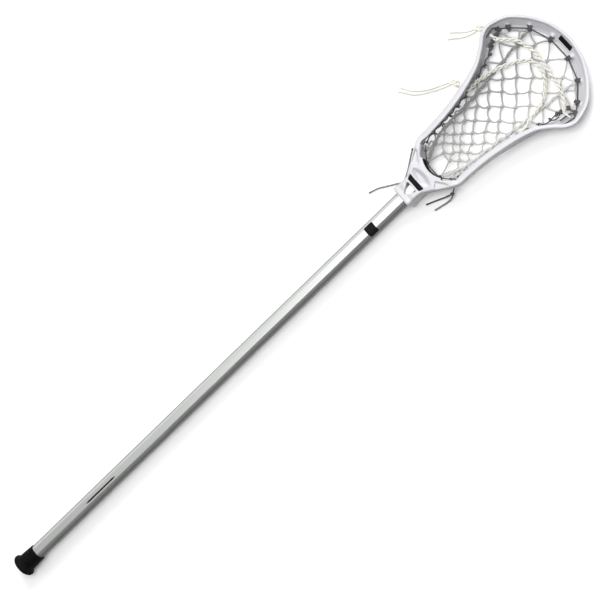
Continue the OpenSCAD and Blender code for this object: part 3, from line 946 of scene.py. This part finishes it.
SIDE = np.array([[33.8, 68, 17.6], [36.2, 90, 18.2], [38.3, 120, 16], [42.2, 145, 12.4], [46.8, 168, 10.3],
                 [53, 188, 10.8], [60.5, 210, 11.8], [66, 224, 12.2]])
for name, s in (("left", -1), ("right", 1)):
    base = resampled(catmull(SIDE, 10), 0.8)
    along = length_along(base)
    wave = np.sin(along / HOLE_PITCH * 2 * math.pi)
    weave = base[:, 2] - 1.2 + 2.2 * np.cos(along / 6.25 * math.pi)
    woven = np.column_stack([s * (base[:, 0] + 0.5 * wave), base[:, 1], weave])
    cords = [(woven, 0.95)]
    for k, y in enumerate(np.arange(74, 214, 15.5)):        # where it goes round the net's edge
        x, lift = (np.interp(y, base[:, 1], base[:, axis]) for axis in (0, 2))
        ahead = np.interp(y + 4, base[:, 1], base[:, 0]) - x
        at = [s * (x - 2.6), y, lift + 0.3]
        cords.append((wrap(at, [s * ahead, 4, 0], 1.7, 1.7, 3.2 + k % 3, phase=k * s), 0.75))
        cords.append((between([s * x, y - 2, lift - 0.4], [s * (x - 2.6), y + 1, lift + 1.2], 6), 0.75))
    for x, y, turns in ((66, 241, 2.6), (62.8, 231, 2.6), (61.2, 225, 2.2)):
        x, y = (x, y) if s > 0 else (x + 7, y - 4)
        cords.append((wrap([s * x, y, 12.5], [s * 4, 7, 0], 2.6, turns, 5.0, phase=y), 1.0))
    low, high = ((60.6, 225), (66, 241)) if s > 0 else ((67.6, 221), (73, 237))
    stops = [mirrored(s, at) for at in ((60.5, 210, 11.6), (*low, 12.4), (*high, 12.6), (76, 243, 12.2))]
    cords += [(between(a, b), 1.0) for a, b in zip(stops, stops[1:])]
    string_piece(name + "_sidewall_piece", cords, name + "_sidewall_string")

HALF_BOTTOM = [[10, 53.8, 13.6], [19, 58.4, 14.2], [26, 64.5, 15.4], [31.5, 70, 16.6]]
bottom_route = [mirrored(-1, at) for at in HALF_BOTTOM[::-1]] + HALF_BOTTOM
cords = [(resampled(catmull(bottom_route, 8), 0.9), 0.9)]
for at in ([13, 55.6, 13.6], [26, 64.6, 15.2]):
    for s in (-1, 1):
        cords.append((wrap(mirrored(s, at), [s * 6, 4, 0], 1.5, 2.2, 3.4, phase=at[0]), 0.75))
string_piece("bottom_string_piece", cords, "bottom_string")


# ---------------------------------------------------------------- foam, badge, screw, shaft and butt cap

def prism(plan, z0, z1, bevel):
    """A plate from a plan's points, with a bevelled top edge."""
    plan = np.asarray(plan, float)
    centre = plan.mean(axis=0)
    inner = centre + (plan - centre) * (1 - bevel / np.abs(plan - centre).max())
    n = len(plan)
    rings = [np.column_stack([plan, np.full(n, z0)]), np.column_stack([plan, np.full(n, z1 - bevel)]),
             np.column_stack([inner, np.full(n, z1)])]
    return np.vstack(rings), ring_faces(3, n) + end_faces(3, n)


PAD_R, PAD_Z = 34.5, 22.5       # the arc that the pad's middle follows, and its height


def foam_points():
    """The pad along the ball stop: a strip with soft edges, dented a little where balls land."""
    arc = np.radians(np.linspace(-32, 32, 66))
    section = []
    for k in range(28):
        a = 2 * math.pi * k / 28
        r = PAD_R + 1.45 * np.sign(math.cos(a)) * abs(math.cos(a)) ** 0.35
        z = PAD_Z + 6.4 * np.sign(math.sin(a)) * abs(math.sin(a)) ** 0.35
        section.append((r, z))
    points = []
    for k, a in enumerate(arc):
        end = min(k, len(arc) - 1 - k)
        narrow = 1 - 0.35 * math.exp(-end / 1.2)
        for r, z in section:
            dent = 0.16 * math.sin(9 * a + z * 0.5) if r < PAD_R - 0.5 else 0
            reach = PAD_R + (r - PAD_R) * narrow + dent
            height = PAD_Z + (z - PAD_Z) * (0.93 + 0.07 * narrow)
            points.append([reach * math.sin(a), STOP_Y - reach * math.cos(a), height])
    n = len(section)
    return np.array(points), ring_faces(len(arc), n) + end_faces(len(arc), n)


pad = make_piece("foam_pad_piece", *foam_points(), FOAM, "foam", ["ball_stop_pad"])

BADGE_PLAN = [(-11.4, 24.1), (11.4, 24.1), (14.05, 30.9), (-14.05, 30.9)]
make_piece("badge_piece", *prism(BADGE_PLAN, SEAT_Z, 32.7, 0.25), BADGE, "badge", ["throat_badge"],
           smooth=False)


ABOVE = 50                      # a height over the whole stick


def tree_of(piece):
    """A piece's surface, for casting rays at."""
    corners = [tuple(v.co) for v in piece.data.vertices]
    return BVHTree.FromPolygons(corners, [tuple(f.vertices) for f in piece.data.polygons])


def patch_on(tree, centre, half_x, half_y, corner, lift):
    """A thin plain patch with rounded corners, laid on what is below it."""
    us, vs = np.linspace(-half_x, half_x, 25), np.linspace(-half_y, half_y, 13)
    points, faces = [], []
    for v in vs:
        for u in us:
            over = max(abs(v) - (half_y - corner), 0) / corner
            squeeze = half_x - corner * (1 - math.sqrt(max(0, 1 - over * over)))
            x, y = centre[0] + u / half_x * squeeze, centre[1] + v
            start = Vector(to_frame([x, y, ABOVE])[0])
            hit = tree.ray_cast(start, Vector((0, 0, -1)))[0]
            points.append([x, y, hit.z / MM + lift])
    n = len(us)
    for i in range(len(vs) - 1):
        for j in range(n - 1):
            faces.append([i * n + j, i * n + j + 1, (i + 1) * n + j + 1, (i + 1) * n + j])
    return np.array(points), faces


scoop_mark = patch_on(tree_of(head), (0.6, 295.0), 11.5, 3.3, 1.0, 0.12)
make_piece("scoop_mark_piece", *scoop_mark, BADGE, "badge")

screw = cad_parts["head_screw"]
screw.data.materials.clear()
screw.data.materials.append(STEEL)


CHAMFER_SHARE = 1.06            # the width over two corner flats, as a share of that over two wide ones


def octagon(w, rounding):
    """The shaft's section: wide flats, narrower corners, each edge a little round."""
    half, cut = w / 2, w * CHAMFER_SHARE / 2 * math.sqrt(2)
    corner = cut - half
    corners = [(half, corner), (corner, half), (-corner, half), (-half, corner),
               (-half, -corner), (-corner, -half), (corner, -half), (half, -corner)]
    found = []
    for k, c in enumerate(corners):
        c, p, q = np.array(c), np.array(corners[k - 1]), np.array(corners[(k + 1) % 8])
        a = c + (p - c) / np.linalg.norm(p - c) * rounding
        b = c + (q - c) / np.linalg.norm(q - c) * rounding
        for t in np.linspace(0, 1, 4):
            found.append((1 - t) ** 2 * a + 2 * t * (1 - t) * c + t * t * b)
    return np.array(found)


def tube_of_rings(rings):
    """A closed wall from rings that run up its outside and down its inside."""
    faces = ring_faces(len(rings), len(rings[0]))
    return np.vstack(rings), [face[::-1] for face in faces]


def ring(section, y):
    """A section's points round the shaft's axis at one place along it."""
    return np.column_stack([section[:, 0], np.full(len(section), y), section[:, 1] + AXIS_Z])


def shaft_surface():
    """The shaft, open at both ends."""
    outer, inner = octagon(20.8, 1.6), octagon(17.6, 1.2)
    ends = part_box("shaft")
    y0, y1 = (ends[0].y - HEAD_Y) / MM, (ends[1].y - HEAD_Y) / MM
    ys = np.linspace(y0, y1, 60)
    rings = [ring(outer, y) for y in ys] + [ring(inner, y) for y in ys[::-1]] + [ring(outer, y0)]
    return tube_of_rings(rings)


shaft = make_piece("shaft_piece", *shaft_surface(), ALLOY, "shaft", ["shaft"])


def cap_surface():
    """The rubber cap: a flared end with a soft lip, a waist with thin grip rings, and a thin mouth."""
    outline = [(0, 0.25), (4, 0.1), (7.5, 0.0), (11, 0.05), (13.2, 0.45), (15.2, 1.4), (16.7, 2.8),
               (17.4, 4.4), (17.5, 5.4), (17.2, 6.6), (16.4, 7.7), (15.3, 8.7), (14.5, 9.7), (13.9, 10.8),
               (13.6, 12.0)]
    for y in np.arange(13.0, 31, 0.5):
        groove = 0.18 if (y * 2) % 7 < 1 else 0
        outline.append((13.6 - (y - 12) * 0.05 - groove, y))
    outline += [(12.55, 31.5), (12.5, 33.5), (12.45, 34.9), (12.2, 35.6), (11.8, 35.95), (11.3, 36.0)]
    angle = np.linspace(0, 2 * math.pi, 96, endpoint=False)
    directions = np.column_stack([np.cos(angle), np.sin(angle)])
    start = (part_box("butt_cap")[0].y - HEAD_Y) / MM
    rings = [ring(directions * max(r, 0.02), start + y) for r, y in outline]
    # its bore follows the shaft's eight sides
    flat, corner = 10.42, 11.04 * math.sqrt(2)
    cos, sin = np.abs(directions).T
    reach = np.minimum(flat / np.maximum(cos, sin), corner / (cos + sin))
    rings += [ring(directions * reach[:, None], start + y) for y in (36.0, 34.0, 8.0)]
    return tube_of_rings(rings)


shaft_tree = tree_of(shaft)
make_piece("shaft_mark_piece", *patch_on(shaft_tree, (2.2, -60), 7.6, 7.6, 1.2, 0.08), BADGE, "badge")
make_piece("shaft_stripe_piece", *patch_on(shaft_tree, (1.2, -603), 1.2, 30, 0.8, 0.06), BADGE, "badge")
cap = make_piece("butt_cap_piece", *cap_surface(), RUBBER, "butt_cap", ["butt_cap"])
for piece in (head, shaft, cap):
    edges = piece.modifiers.new("edges", "WEIGHTED_NORMAL")
    edges.keep_sharp = True


# ---------------------------------------------------------------- floor and light

bpy.ops.mesh.primitive_plane_add(size=14, location=(0, 0, -0.0004))
floor = bpy.context.active_object
floor.name = "studio_floor"
floor.data.materials.append(FLOOR)

world = bpy.data.worlds.new("studio")
bpy.context.scene.world = world
world.use_nodes = True
sky = Graph(world.node_tree)
# brighter towards the left
x, y = sky.split(sky.places["Generated"])[:2]
bright = sky.mapped(sky.math("MULTIPLY_ADD", y, -0.6, x), (0.7, -0.8), (0.06, 0.95), "SMOOTHSTEP")
background = sky.tree.nodes["Background"].inputs
sky.feed([background["Strength"], background["Color"]], [bright, (1, 1, 1)])
bpy.context.scene.view_settings.view_transform = "Standard"


def softbox(name, place, size, power):
    """An area light that points at the head."""
    light = bpy.data.lights.new(name, "AREA")
    light.shape = "RECTANGLE"
    light.size, light.size_y = size
    light.energy = power
    made = bpy.data.objects.new(name, light)
    bpy.context.scene.collection.objects.link(made)
    made.location = place
    made.rotation_mode = "QUATERNION"
    made.rotation_quaternion = (Vector((0, 0.1, 0)) - Vector(place)).to_track_quat("-Z", "Y")


softbox("key", (-2.0, 1.7, 2.1), (1.8, 1.6), 50)
softbox("overhead", (0.1, 0.5, 2.8), (1.6, 2.0), 62)
